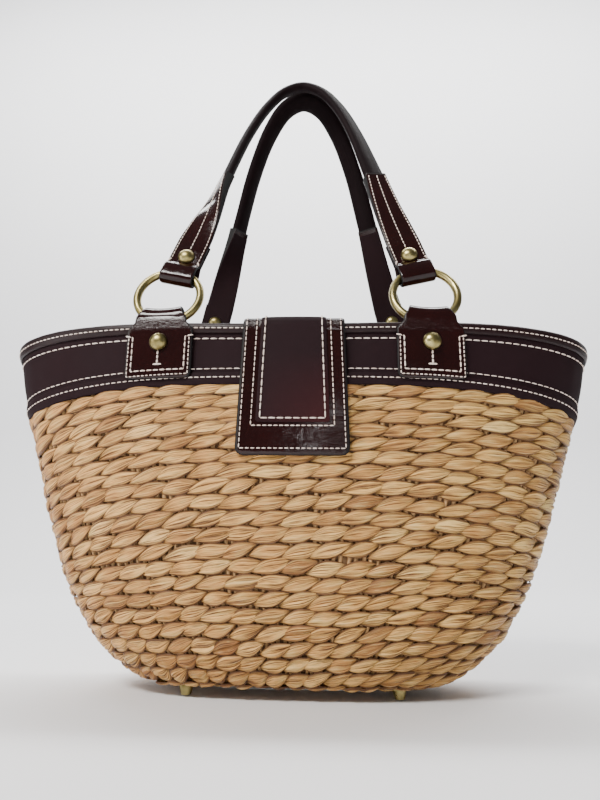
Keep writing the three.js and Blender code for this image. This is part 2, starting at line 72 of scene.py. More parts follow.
RING_WIRE_DIAMETER = 5
RING_X = 81
TAB_WIDTH = 41
TAB_FOLD_WIDTH = 22.5
TAB_FLARE = 7
TAB_DROP = 35
TAB_INNER_DROP = 30
TAB_WALL = 1.8
TAB_ARCH = 1.3
TAB_CORNER = 4
TAB_SHOULDER = 4.5
HANDLE_HEIGHT = 230
HANDLE_WIDTH = 15
HANDLE_THICKNESS = 7.5
HANDLE_END_WIDTH = 22.5
HANDLE_SEAM_WIDTH = 16
HANDLE_SEAM_THICKNESS = 8
HANDLE_END_LENGTH = 112
HANDLE_LAYER = 2.2
HANDLE_RETURN = 26
STUD_DIAMETER = 11
STUD_HEIGHT = 4.2
TAB_STUD_DOWN = 13
HANDLE_STUD_UP = 12.5
FOOT_HEIGHT = 6.5
FOOT_TOP_DIAMETER = 10
FOOT_TIP_DIAMETER = 5.6
FOOT_COLLAR = 1.6
FOOT_X = 61
FOOT_Y = 30

# Shares of the sizes above: (down, width), (down, depth), (down, droop), (rise, spread), (along, degrees)
WIDTHS = [(0, 1), (.16, .931), (.35, .794), (.55, .654), (.72, .515), (.86, .348), (.95, .165), (1, 0)]
DEPTHS = [(0, 1), (.16, .950), (.35, .875), (.55, .786), (.72, .696), (.86, .536), (.95, .265), (1, 0)]
DROOPS = [(0, .25), (.19, .97), (.57, 1), (.78, .31), (1, 0)]
ARCH = [(0, 1), (.156, .892), (.346, .758), (.536, .636), (.73, .497), (.88, .340), (.97, .176)]
TWIST = [(0, 0), (.1, 0), (.22, 56), (.34, 62), (.5, 48), (.66, 38), (.78, 12), (.9, 0), (1, 0)]

# Sizes that follow
POWER = 2 / PLAN_POWER
PROUD = GAP + max(BINDING_WALL, TRIM_WALL) + GAP
RIM_INSIDE = BAND_WALL + GAP + WEAVE_WALL + GAP + BINDING_WALL
WIRE_RADIUS = RING_WIRE_DIAMETER / 2
RING_RADIUS = RING_OUTER_DIAMETER / 2 - WIRE_RADIUS
RIM_Z = -(HANDLE_HEIGHT - HANDLE_THICKNESS / 2)
MM = 0.001

# Weave
COLUMNS = 44
COLUMN_SHIFT = 0.28
FIRST_ROW = 42.2
ROW_PITCHES = [(39, 7.9), (75, 8.5), (130, 8.9), (180, 8.3), (260, 8.0)]
LEAF_HALF_LENGTH = 0.79
LEAF_TIP = 0.37
LEAF_PEAK = 0.555
STAKES_PER_COLUMN = 4
STAKE_HALF_WIDTH = 1.25

rng = np.random.default_rng(11)


# Curves and surfaces

def smooth(table, where):
    """Smooth curve through a table, flat where its values turn."""
    x, y = np.array(table, float).T
    step = np.diff(y) / np.diff(x)
    slope = np.concatenate([step[:1], (y[2:] - y[:-2]) / (x[2:] - x[:-2]), step[-1:]])
    slope[1:-1][step[1:] * step[:-1] <= 0] = 0
    where = np.clip(where, x[0], x[-1])
    i = np.clip(np.searchsorted(x, where, side="right") - 1, 0, len(x) - 2)
    span = x[i + 1] - x[i]
    t = (where - x[i]) / span
    bend = t * (1 - t) ** 2 * slope[i] - t * t * (1 - t) * slope[i + 1]
    return (1 + 2 * t) * (1 - t) ** 2 * y[i] + t * t * (3 - 2 * t) * y[i + 1] + span * bend


def half_width(down):
    return BASE_HALF_WIDTH + (RIM_HALF_WIDTH - BASE_HALF_WIDTH) * smooth(WIDTHS, down / BASKET_HEIGHT)


def half_depth(down):
    return BASE_HALF_DEPTH + (RIM_HALF_DEPTH - BASE_HALF_DEPTH) * smooth(DEPTHS, down / BASKET_HEIGHT)


def sag(level):
    return MIDDLE_SAG * np.maximum(0, 1 - level / SAG_LEVEL)


def wall(angle, level, offset=0.0):
    """Point of the basket's outer surface; a level past its height runs inward over the base."""
    angle, level, offset = np.broadcast_arrays(angle, np.asarray(level, float), offset)
    c, s = np.cos(angle), np.sin(angle)
    across = np.abs(c) ** POWER
    ends = END_DROOP * smooth(DROOPS, level / BASKET_HEIGHT) * across ** DROOP_POWER
    down = level + ends + sag(level) * (1 - across ** 2) ** 3
    past = np.maximum(down - BASKET_HEIGHT, 0)
    down = np.minimum(down, BASKET_HEIGHT)
    a = half_width(down) - past
    b = half_depth(down) - past
    nx = np.sign(c) * np.abs(c) ** (2 - POWER) / a
    ny = np.sign(s) * np.abs(s) ** (2 - POWER) / b
    size = np.hypot(nx, ny)
    x = a * np.sign(c) * across + offset * nx / size
    y = b * np.sign(s) * np.abs(s) ** POWER + offset * ny / size
    return np.stack([x, y, -down], -1)


def unit(v):
    return v / np.linalg.norm(v, axis=-1, keepdims=True)


def wall_normal(angle, level):
    across = wall(angle + 2e-3, level) - wall(angle - 2e-3, level)
    down = wall(angle, level + 0.6) - wall(angle, level - 0.6)
    return unit(np.cross(down, across))


def lengths_along(points, power=1.0):
    """Length reached at each point of a line, with its steps raised to a power."""
    return np.concatenate([[0], np.cumsum(np.linalg.norm(np.diff(points, axis=0), axis=1) ** power)])


MIDDLE_LEVEL = 110.0
ANGLES = np.linspace(-math.pi, math.pi, 40001)
ARC = lengths_along(wall(ANGLES, MIDDLE_LEVEL))
FRONT = ANGLES[(ANGLES > -math.pi + 1e-3) & (ANGLES < -1e-3)]


def turn(share):
    """Angle at a share of the way round, from the middle of the front toward the right."""
    return np.interp((np.asarray(share) + 0.25) % 1 * ARC[-1], ARC, ANGLES)


def front_angle(x, level):
    return np.interp(x, wall(FRONT, level)[:, 0], FRONT)


def spline(knots, per=30):
    """Dense points of a centripetal curve through the knots."""
    k = np.array(knots, float)
    k = np.vstack([2 * k[0] - k[1], k, 2 * k[-1] - k[-2]])
    out = []
    for p in (k[i:i + 4] for i in range(len(k) - 3)):
        t = lengths_along(p, 0.5)
        u = np.linspace(t[1], t[2], per, endpoint=False)[:, None]
        a = [((t[i + 1] - u) * p[i] + (u - t[i]) * p[i + 1]) / (t[i + 1] - t[i]) for i in range(3)]
        b = [((t[i + 2] - u) * a[i] + (u - t[i]) * a[i + 1]) / (t[i + 2] - t[i]) for i in range(2)]
        out.append(((t[2] - u) * b[0] + (u - t[1]) * b[1]) / (t[2] - t[1]))
    return np.vstack(out + [k[-2:-1]])


class Path:
    """A dense line with its lengths."""

    def __init__(self, points):
        self.points = np.asarray(points, float)
        self.lengths = lengths_along(self.points)
        self.length = self.lengths[-1]

    def at(self, place):
        return np.stack([np.interp(place, self.lengths, axis) for axis in self.points.T], -1)

    def along(self, place):
        return unit(self.at(np.minimum(place + 0.5, self.length)) - self.at(np.maximum(place - 0.5, 0)))


# Pieces

class Pile:
    """Many small surfaces joined into one piece."""

    def __init__(self):
        self.points, self.faces, self.marks, self.count = [], [], [], 0

    def add(self, grids, wrap_u=False, wrap_v=False, caps=False, marks=None):
        """Grids of points, (surface, u, v, 3) or (u, v, 3), with marks (surface, u, v, 4)."""
        grids = np.asarray(grids, float)
        if grids.ndim == 3:
            grids = grids[None]
        m, nu, nv = grids.shape[:3]
        index = np.arange(m * nu * nv).reshape(m, nu, nv) + self.count
        rows = np.concatenate([index, index[:, :1]], 1) if wrap_u else index
        rows = np.concatenate([rows, rows[:, :, :1]], 2) if wrap_v else rows
        quads = np.stack([rows[:, :-1, :-1], rows[:, 1:, :-1], rows[:, 1:, 1:], rows[:, :-1, 1:]], -1)
        self.faces.append(quads.reshape(-1, 4))
        if caps:
            for row, flip in ((index[:, 0], False), (index[:, -1], True)):
                j = np.arange(nv // 2 - 1)
                cap = np.stack([row[:, j], row[:, j + 1], row[:, nv - 2 - j], row[:, nv - 1 - j]], -1)
                self.faces.append((cap[..., ::-1] if flip else cap).reshape(-1, 4))
        self.points.append(grids.reshape(-1, 3))
        marks = np.zeros((m, nu, nv, 4)) if marks is None else np.broadcast_to(marks, (m, nu, nv, 4))
        self.marks.append(marks.reshape(-1, 4))
        self.count += m * nu * nv

    def piece(self, name, material, nodes=(), sharp=None):
        points = np.vstack(self.points) * MM
        points[:, 2] += RIM_Z * MM
        mesh = bpy.data.meshes.new(name)
        mesh.from_pydata(points.tolist(), [], np.vstack(self.faces).tolist())
        marks = np.vstack(self.marks)
        leaf = mesh.attributes.new("leaf", "FLOAT_VECTOR", "POINT")
        leaf.data.foreach_set("vector", marks[:, :3].astype(np.float32).ravel())
        tone = mesh.attributes.new("tone", "FLOAT", "POINT")
        tone.data.foreach_set("value", marks[:, 3].astype(np.float32))
        mesh.shade_smooth()
        if sharp:
            mesh.set_sharp_from_angle(angle=math.radians(sharp))
        mesh.materials.append(material)
        obj = bpy.data.objects.new(name, mesh)
        bpy.context.scene.collection.objects.link(obj)
        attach(obj, "root")
        if nodes:
            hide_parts(*nodes)
        return obj


def section(count, power):
    """Loop round a strap's section: across and thick, each from -1 to 1."""
    x = np.sin(np.linspace(-math.pi / 2, math.pi / 2, count))
    lift = np.maximum(1 - np.abs(x) ** power, 0) ** 0.5
    lift[[0, -1]] = 0.12
    return np.concatenate([x, x[::-1]]), np.concatenate([lift, -lift[::-1]])


def strap(points, laterals, normals, widths, walls, power=14, count=13, arch=0.0, crown=0.0):
    """Grid of a strap's skin through its stations."""
    across, thick = section(count, power)
    n = len(points)
    widths, walls, arch = (np.broadcast_to(v, n)[:, None, None] for v in (widths, walls, arch))
    x, t = across[None, :, None], thick[None, :, None]
    lift = t * walls / 2 + arch * x ** 2 + crown * (1 - x ** 2) * (t > 0)
    return points[:, None] + laterals[:, None] * x * widths / 2 + normals[:, None] * lift


def cross_marks(grid):
    """Marks of a strap's skin: along it from 0 to 1, and across it from -1 to 1."""
    n, around = grid.shape[:2]
    across = section(around // 2, 2)[0]
    along = np.linspace(0, 1, n)
    return np.stack(np.broadcast_arrays(along[:, None], across, 0.0, 0.0), -1)


def skinned(name, grids, material, nodes=()):
    """A piece made of closed straps."""
    pile = Pile()
    for grid in grids:
        pile.add(grid, wrap_v=True, caps=True, marks=cross_marks(grid))
    return pile.piece(name, material, nodes, sharp=60)


def corner_width(width, corner, from_end):
    into = np.maximum(corner - from_end, 0)
    return width - 2 * (corner - np.sqrt(np.maximum(corner ** 2 - into ** 2, 0)))


def spin(profile, centre, axis, sides=40):
    """Body turned round an axis, from a profile of radius and height."""
    axis = unit(np.asarray(axis, float))
    side = unit(np.cross(axis, [0.3, 0.9, 0.2]))
    other = np.cross(axis, side)
    t = np.linspace(0, 2 * math.pi, sides, endpoint=False)
    radial = np.cos(t)[:, None] * side + np.sin(t)[:, None] * other
    r, h = np.array(profile, float).T
    return np.asarray(centre, float) + r[:, None, None] * radial[None] + h[:, None, None] * axis


def stitches(pile, points, normals, pitch, length, radius, lean=0.0):
    """Rounded stitches along a line, sunk at both ends."""
    path = Path(points)
    count = max(int(round(path.length / pitch)), 1)
    pitch = path.length / count
    length = min(length, 0.9 * pitch)
    facing = Path(np.asarray(normals, float))
    s = np.array([-1, -0.75, -0.3, 0.3, 0.75, 1])
    middle = (np.arange(count) + 0.5) * pitch
    place = middle[:, None] + s * length / 2
    p = path.at(place)
    along = path.along(place)
    mid = np.interp(place, path.lengths, np.arange(len(path.points)))
    normal = np.stack([np.interp(mid, np.arange(len(facing.points)), axis) for axis in facing.points.T], -1)
    side = unit(np.cross(along, normal))
    normal = np.cross(side, along)
    p = p + side * (lean * s * length / 2)[None, :, None]
    size = radius * (1 - s ** 4) ** 0.5 + 0.12 * radius
    rise = radius * (0.55 - 0.9 * s ** 4)
    t = np.linspace(0, 2 * math.pi, 7, endpoint=False)
    grid = (p + normal * rise[None, :, None])[:, :, None] + size[None, :, None, None] * (
        np.cos(t)[:, None] * side[:, :, None] + np.sin(t)[:, None] * normal[:, :, None])
    marks = np.zeros(grid.shape[:3] + (4,))
    marks[..., 3] = rng.random((count, 1, 1))
    pile.add(grid, wrap_v=True, marks=marks)


# Materials

class Paint:
    """A material and short ways to add its nodes."""

    def __init__(self, name):
        self.material = bpy.data.materials.new(name)
        self.material.use_nodes = True
        self.tree = self.material.node_tree
        self.tree.nodes.clear()

    def add(self, kind, out=0, settings=None, **sockets):
        node = self.tree.nodes.new("ShaderNode" + kind)
        for key, value in (settings or {}).items():
            setattr(node, key, value)
        for key, value in sockets.items():
            name = key.replace("_", " ")
            numbered = name[0] == "i" and name[1:].isdigit()
            socket = node.inputs[int(name[1:]) if numbered else name]
            if isinstance(value, bpy.types.NodeSocket):
                self.tree.links.new(value, socket)
            else:
                socket.default_value = value
        return node if out is None else node.outputs[out]

    def math(self, operation, a, b=0.0):
        return self.add("Math", settings={"operation": operation}, i0=a, i1=b)

    def mix(self, factor, a, b, blend="MIX"):
        node = self.add("Mix", None, {"data_type": "RGBA", "blend_type": blend})
        for index, value in ((0, factor), (6, a), (7, b)):
            if isinstance(value, bpy.types.NodeSocket):
                self.tree.links.new(value, node.inputs[index])
            else:
                node.inputs[index].default_value = value
        return node.outputs[2]

    def ramp(self, factor, stops):
        node = self.add("ValToRGB", None, Fac=factor)
        elements = node.color_ramp.elements
        while len(elements) < len(stops):
            elements.new(0.5)
        for element, (place, color) in zip(elements, stops):
            element.position = place
            element.color = color if isinstance(color, tuple) else (color, color, color, 1)
        return node.outputs[0]

    def noise(self, vector, scale, detail=4.0, roughness=0.55):
        return self.add("TexNoise", 0, Vector=vector, Scale=scale, Detail=detail, Roughness=roughness)

    def stretched(self, vector, scales):
        return self.add("VectorMath", settings={"operation": "MULTIPLY"}, i0=vector, i1=scales)

    def axis(self, vector, index):
        return self.add("SeparateXYZ", index, Vector=vector)

    def slope(self, value, start, scale):
        """How far a value is past its start, times a scale."""
        return self.math("MULTIPLY", self.math("ADD", value, -start), scale)

    def place(self):
        return self.add("TexCoord", "Object")

    def bump(self, height, strength, distance):
        return self.add("Bump", Height=height, Strength=strength, Distance=distance)

    def finish(self, **sockets):
        shader = self.add("BsdfPrincipled", **sockets)
        self.add("OutputMaterial", None, Surface=shader)
        return self.material


def rgb(r, g, b):
    return (r, g, b, 1.0)


def straw_paint(name, shade=1.0):
    paint = Paint(name)
    leaf = paint.add("Attribute", "Vector", {"attribute_name": "leaf"})
    tone = paint.add("Attribute", "Fac", {"attribute_name": "tone"})
    seeded = paint.stretched(leaf, (1.0, 1.0, 61.0))
    streak = paint.noise(paint.stretched(seeded, (0.9, 5.0, 1.0)), 1.0, 4.0, 0.62)
    crease = paint.noise(paint.stretched(seeded, (0.55, 9.0, 1.0)), 1.0, 2.0, 0.5)
    fibre = paint.noise(paint.stretched(seeded, (1.6, 30.0, 1.0)), 1.0, 3.0, 0.7)
    blotch = paint.noise(paint.stretched(seeded, (1.3, 1.2, 1.0)), 1.0, 3.0)
    base = paint.ramp(tone, [
        (0.0, rgb(.34, .130, .030)), (0.25, rgb(.54, .245, .060)), (0.5, rgb(.73, .375, .100)),
        (0.75, rgb(.90, .51, .150)), (1.0, rgb(1.0, .66, .25))])
    # Painted shade: the straw is darkened toward the bag's right end, where the key lamp's light falls off,
    # with a slight pink cast at the left end and an olive cast at the right.
    x = paint.axis(paint.place(), 0)
    place = paint.ramp(paint.math("ADD", paint.math("MULTIPLY", x, 2.6), 0.5), [
        (0.0, rgb(1.0, .955, 1.05)), (.5, rgb(1.0, 1.0, 1.0)), (1.0, rgb(.79, .88, .80))])
    right_end_shaded = paint.mix(1.0, base, place, "MULTIPLY")
    olive = paint.mix(paint.ramp(blotch, [(.45, 0.0), (.66, .5)]), right_end_shaded, rgb(.56, .41, .135))
    dark = paint.mix(paint.ramp(streak, [(.34, .92), (.53, 0.0)]), olive, rgb(.28, .115, .030))
    pale = paint.mix(paint.ramp(streak, [(.54, 0.0), (.74, .65)]), dark, rgb(.95, .69, .34))
    # Painted shade: near-black lines in the valleys of the crease noise, for the shade in the leaves'
    # lengthwise creases.
    crease_shaded = paint.mix(paint.ramp(crease, [(.37, 1.0), (.46, 0.0)]), pale, rgb(.09, .030, .008))
    fine = paint.mix(paint.ramp(fibre, [(.3, .35), (.55, 0.0)]), crease_shaded, rgb(.40, .21, .07))
    # Painted shade: each leaf's long edges are darkened to near black, for the shadow in the joins between
    # rows of leaves.
    across = paint.axis(leaf, 1)
    edge = paint.ramp(paint.math("ABSOLUTE", across), [(.64, 0.0), (.91, .97)])
    edge_shaded = paint.mix(edge, fine, rgb(.11, .042, .012))
    # Painted shade: each leaf's pointed ends are darkened, for the shade where they tuck under the
    # neighbouring leaves.
    ends = paint.axis(leaf, 0)
    tip_shade_mask = paint.ramp(paint.math("ABSOLUTE", ends), [(.62, 0.0), (.95, .88)])
    tip_shaded = paint.mix(tip_shade_mask, edge_shaded, rgb(.22, .10, .035))
    color = paint.mix(1.0, tip_shaded, rgb(shade, shade, shade), "MULTIPLY")
    folds = paint.ramp(crease, [(.32, 0.0), (.46, 1.0)])
    height = paint.math("ADD", paint.math("MULTIPLY", streak, 0.9), paint.math("MULTIPLY", fibre, 0.4))
    height = paint.math("ADD", height, paint.math("MULTIPLY", folds, 0.55))
    rough = paint.ramp(streak, [(.3, .60), (.75, .36)])
    return paint.finish(Base_Color=color, Roughness=rough, Normal=paint.bump(height, .8, .0008),
                        Specular_IOR_Level=0.4)


# Painted shade: a dark brown paint for sheets behind the leaves, standing in for the shade in the gaps of
# the weave.
def gap_shade_paint():
    paint = Paint("straw_gap_shade")
    spot = paint.noise(paint.place(), 320.0, 4.0)
    color = paint.mix(paint.ramp(spot, [(.35, 0.0), (.7, 1.0)]), rgb(.10, .045, .016), rgb(.20, .105, .042))
    return paint.finish(Base_Color=color, Roughness=0.9, Normal=paint.bump(spot, .5, .0006))


def stake_paint():
    paint = Paint("straw_stakes")
    where = paint.place()
    line = paint.noise(paint.stretched(where, (900.0, 900.0, 60.0)), 1.0, 3.0)
    spot = paint.noise(where, 90.0, 3.0)
    color = paint.mix(line, rgb(.30, .155, .055), rgb(.56, .33, .135))
    color = paint.mix(paint.ramp(spot, [(.4, 0.0), (.65, .45)]), color, rgb(.44, .23, .090))
    return paint.finish(Base_Color=color, Roughness=0.6, Normal=paint.bump(line, .4, .0004))


def matte_paint(name, tint=False):
    paint = Paint(name)
    where = paint.place()
    grain = paint.add("TexVoronoi", "Distance", Vector=where, Scale=1500.0)
    fine = paint.noise(where, 2600.0, 3.0)
    cloud = paint.noise(where, 22.0, 4.0)
    color = paint.mix(cloud, rgb(.0088, .0032, .0044), rgb(.0145, .0052, .0068))
    if tint:
        x, z = paint.axis(where, 0), paint.axis(where, 2)
        low = paint.math("MULTIPLY", paint.math("SUBTRACT", -0.250, z), 15.0)
        right = paint.math("ADD", paint.math("MULTIPLY", x, 18.0), 0.55)
        amount = paint.ramp(paint.math("MULTIPLY", low, right), [(0.0, 0.0), (.95, .85)])
        color = paint.mix(amount, color, rgb(.052, .0095, .0100))
    height = paint.math("ADD", paint.math("MULTIPLY", grain, 0.6), paint.math("MULTIPLY", fine, 0.5))
    rough = paint.ramp(cloud, [(.3, .66), (.7, .78)])
    return paint.finish(Base_Color=color, Roughness=rough, Normal=paint.bump(height, .22, .0002),
                        Specular_IOR_Level=0.11)


def patent_paint():
    paint = Paint("leather_patent")
    where = paint.place()
    wave = paint.noise(where, 45.0, 2.0)
    crumple = paint.noise(where, 420.0, 5.0, 0.62)
    patches = paint.ramp(paint.noise(where, 34.0, 2.0), [(.55, 0.0), (.68, .5)])
    x, z = paint.axis(where, 0), paint.axis(where, 2)
    shoulder = paint.ramp(paint.slope(z, -0.236, 80.0), [(0.0, 0.0), (.2, 1.0), (.6, 1.0), (.8, 0.0)])
    right = paint.ramp(paint.slope(x, 0.012, 60.0), [(0.0, 0.0), (.8, 1.0)])
    low = paint.ramp(paint.slope(z, -0.288, -60.0), [(0.0, 0.0), (.8, 1.0)])
    corner = paint.math("MULTIPLY", right, low)
    patches = paint.math("MAXIMUM", patches, paint.math("MAXIMUM", shoulder, corner))
    fine = paint.noise(where, 1800.0, 2.0)
    crumpled = paint.math("MULTIPLY", paint.math("MULTIPLY", crumple, patches), 1.3)
    height = paint.math("ADD", paint.math("MULTIPLY", wave, 0.4), crumpled)
    height = paint.math("ADD", height, paint.math("MULTIPLY", fine, 0.05))
    color = paint.mix(wave, rgb(.0065, .0012, .0011), rgb(.0165, .0026, .0023))
    leaf = paint.add("Attribute", "Vector", {"attribute_name": "leaf"})
    edge = paint.ramp(paint.math("ABSOLUTE", paint.axis(leaf, 1)), [(.93, 0.0), (.985, 1.0)])
    start = paint.ramp(paint.axis(leaf, 0), [(0.0, 1.0), (.012, 0.0)])
    edge = paint.math("MAXIMUM", edge, start)
    color = paint.mix(edge, color, rgb(.0020, .0014, .0015))
    gloss = paint.ramp(crumple, [(.3, .08), (.7, .17)])
    rough = paint.math("MAXIMUM", gloss, paint.math("MULTIPLY", edge, 0.75))
    return paint.finish(Base_Color=color, Roughness=rough, Normal=paint.bump(height, .45, .0011),
                        Specular_IOR_Level=0.33)


def binding_paint():
    paint = Paint("leather_binding")
    where = paint.place()
    cloud = paint.noise(where, 60.0, 3.0)
    fine = paint.noise(where, 900.0, 4.0)
    color = paint.mix(cloud, rgb(.0075, .0022, .0026), rgb(.0150, .0046, .0054))
    return paint.finish(Base_Color=color, Roughness=paint.ramp(cloud, [(.3, .34), (.7, .46)]),
                        Normal=paint.bump(fine, .25, .0003), Specular_IOR_Level=0.22)


def handle_paint():
    """Matte leather of the rolled handles, with fine lines that run along them."""
    paint = Paint("leather_handle")
    where = paint.place()
    leaf = paint.add("Attribute", "Vector", {"attribute_name": "leaf"})
    lines = paint.noise(paint.stretched(leaf, (3.0, 11.0, 1.0)), 1.0, 3.0, 0.6)
    fine = paint.noise(where, 2200.0, 3.0)
    cloud = paint.noise(where, 30.0, 4.0)
    color = paint.mix(cloud, rgb(.0042, .0020, .0025), rgb(.0085, .0036, .0044))
    color = paint.mix(paint.ramp(lines, [(.3, .5), (.5, 0.0)]), color, rgb(.004, .002, .0025))
    height = paint.math("ADD", lines, paint.math("MULTIPLY", fine, 0.15))
    return paint.finish(Base_Color=color, Roughness=paint.ramp(lines, [(.3, .68), (.7, .54)]),
                        Normal=paint.bump(height, .45, .0007), Specular_IOR_Level=0.06)


def thread_paint():
    paint = Paint("thread_cream")
    where = paint.place()
    tone = paint.add("Attribute", "Fac", {"attribute_name": "tone"})
    twist = paint.noise(paint.stretched(where, (1500.0, 1500.0, 1500.0)), 1.0, 2.0)
    color = paint.mix(tone, rgb(.72, .58, .50), rgb(.92, .80, .72))
    color = paint.mix(paint.ramp(twist, [(.3, .5), (.6, 0.0)]), color, rgb(.36, .27, .21))
    return paint.finish(Base_Color=color, Roughness=0.6, Normal=paint.bump(twist, .5, .0002))


def brass_paint():
    paint = Paint("brass_antique")
    where = paint.place()
    cloud = paint.noise(where, 120.0, 4.0)
    fine = paint.noise(where, 1400.0, 3.0)
    bright = paint.ramp(cloud, [(.35, 0.0), (.7, 1.0)])
    color = paint.mix(bright, rgb(.20, .160, .058), rgb(.46, .390, .170))
    rough = paint.ramp(cloud, [(.3, .40), (.7, .25)])
    return paint.finish(Base_Color=color, Metallic=1.0, Roughness=rough,
                        Normal=paint.bump(fine, .12, .0002))


STRAW = straw_paint("straw_leaves")
# Painted shade: the inside straw is the same straw painted 8% darker, for the shade inside the basket.
STRAW_INSIDE_SHADED = straw_paint("straw_inside", 0.92)
GAP_SHADE = gap_shade_paint()
STAKE = stake_paint()
MATTE = matte_paint("leather_matte")
PANEL = matte_paint("leather_panel", True)
PATENT = patent_paint()
BINDING = binding_paint()
HANDLE_LEATHER = handle_paint()
THREAD = thread_paint()
BRASS = brass_paint()


# Woven straw

def row_levels(first, last):
    levels = [first]
    while levels[-1] < last:
        levels.append(levels[-1] + float(smooth(ROW_PITCHES, levels[-1])))
    return np.array(levels[:-1])


def leaves(levels, outside, steps=(15, 11)):
    """Grids of slanted leaves, one for each column of each row, with their marks."""
    row, column = np.meshgrid(np.arange(len(levels)), np.arange(COLUMNS), indexing="ij")
    row, column = row.ravel(), column.ravel()
    m = len(row)
    level = levels[row] + 0.7 * np.sin(math.tau * (column / COLUMNS * 5 + row * 0.045))
    level = (level + 0.35 * np.sin(math.tau * (column / COLUMNS * 11 - row * 0.07)))[:, None, None]
    pitch = smooth(ROW_PITCHES, levels)[row][:, None, None]
    s = np.sin(math.pi / 2 * np.linspace(-1, 1, steps[0]))[None, :, None]
    t = np.linspace(-1, 1, steps[1])[None, None, :]

    def vary(size):
        return rng.normal(0, size, (m, 1, 1))

    def edge(where, peak):
        rise = np.sin(math.pi / 2 * np.clip((where + 1) / (peak + 1), 0, 1))
        fall = np.clip((where - peak) / (1 - peak), 0, 1) ** 2
        return (LEAF_TIP + LEAF_PEAK) * rise - LEAF_TIP - (LEAF_PEAK - LEAF_TIP) * fall

    top = edge(s, .12 + vary(.09)) + vary(.018)
    bottom = -edge(-s, .12 + vary(.09)) + vary(.018)
    thin = np.maximum(top - bottom, 0.02)
    length = LEAF_HALF_LENGTH * (1 + vary(.065))
    side = 1 if outside else -1
    share = (column[:, None, None] + COLUMN_SHIFT + vary(.045) + side * s * length) / COLUMNS
    tilt = vary(.06) * s + vary(.02)
    lev = level - pitch * ((top + bottom) / 2 + t * thin / 2 + tilt)
    crest = 2.5 * np.cos(math.pi / 2 * s * 0.97) ** 0.7 + vary(.4) * s
    puff = (1.35 + vary(.22)) * np.minimum(thin, 1) ** 0.5 * (1 - np.abs(t) ** 3.2) ** 0.6
    roll = vary(.35) * t * thin
    folds = 0
    for _ in range(4):
        at = rng.uniform(-.8, .8, (m, 1, 1)) + rng.uniform(-.2, .2, (m, 1, 1)) * s
        deep = rng.uniform(0, .95, (m, 1, 1))
        wide = rng.uniform(.07, .17, (m, 1, 1))
        folds = folds + deep * np.exp(-((t - at) / wide) ** 2)
    out = -2.4 + crest + puff + roll - folds * thin ** 0.4 + vary(.2)
    if not outside:
        out = -WEAVE_WALL - np.where(lev < BAND_HEIGHT, BAND_WALL + GAP, 0) - 0.8 * out - 0.4
    angle = turn(share)
    points = wall(angle, lev) + wall_normal(angle, lev) * out[..., None]
    seed = rng.random((m, 1, 1))
    tone = np.clip(0.53 + vary(.17) - 0.3 * (rng.random((m, 1, 1)) < .05), 0.02, 1)
    return points, np.stack(np.broadcast_arrays(s, t, seed, tone), -1)


def weave(name, levels, outside, material, steps=(15, 11), nodes=()):
    pile = Pile()
    points, marks = leaves(levels, outside, steps)
    pile.add(points, marks=marks)
    return pile.piece(name, material, nodes)


def stake_ribs():
    pile = Pile()
    count = COLUMNS * STAKES_PER_COLUMN
    share = (np.arange(count)[:, None, None] + rng.normal(0, .12, (count, 1, 1))) / count
    level = np.concatenate([np.linspace(BAND_HEIGHT - 2, 200, 34), np.linspace(205, 250, 8)])[None, :, None]
    x = np.linspace(-1, 1, 5)[None, None, :]
    angle = turn(share + x * STAKE_HALF_WIDTH / ARC[-1])
    lift = -2.6 + 1.1 * np.sqrt(np.maximum(1 - x ** 2, 0)) + rng.normal(0, .15, (count, 1, 1))
    pile.add(wall(angle, level) + wall_normal(angle, level) * lift[..., None])
    return pile.piece("straw_stakes", STAKE)


# Painted shade: two dark sheets just behind the outer leaves, and one behind the band, that stand in for
# the shade seen through the gaps of the weave.
def gap_shade_sheet():
    pile = Pile()
    share = np.linspace(0, 1, 176, endpoint=False)[:, None]
    side, base = np.linspace(BAND_HEIGHT - 3, BASKET_HEIGHT, 30), np.linspace(213, 252.5, 8)
    level = np.concatenate([side, base])[None]
    angle = turn(share)
    for depth in (-2.7, -3.6):
        pile.add(wall(angle, level) + wall_normal(angle, level) * depth, wrap_u=True)
    top = np.linspace(3, BAND_HEIGHT + 1, 8)[None]
    pile.add(wall(angle, top, -BAND_WALL - 2.4), wrap_u=True)
    return pile.piece("straw_gap_shade_sheet", GAP_SHADE)


outer_levels = row_levels(FIRST_ROW, 249)
middle_row = len(outer_levels) // 2
weave("straw_upper", outer_levels[:middle_row], True, STRAW, nodes=("basket_body",))
weave("straw_lower", outer_levels[middle_row:], True, STRAW)
weave("straw_inside", row_levels(10, 244), False, STRAW_INSIDE_SHADED, (8, 5))
stake_ribs()
gap_shade_sheet()


# Rim

def rounded(profile, times=2):
    """Closed outline with its corners cut."""
    p = np.array(profile, float)
    for _ in range(times):
        q = np.roll(p, -1, 0)
        p = np.stack([0.75 * p + 0.25 * q, 0.25 * p + 0.75 * q], 1).reshape(-1, 2)
    return p


def hoop(name, profile, material, nodes, ripple=0.0):
    """A strip round the rim, from its outline of level and offset."""
    pile = Pile()
    share = np.linspace(0, 1, 300, endpoint=False)[:, None]
    level, offset = profile[None, :, 0], profile[None, :, 1]
    wave = ripple * (np.sin(share * 2 * math.pi * 23) + np.sin(share * 2 * math.pi * 61 + 1)) * 0.5
    pile.add(wall(turn(share), level, offset + wave), wrap_u=True, wrap_v=True)
    return pile.piece(name, material, nodes, sharp=50)


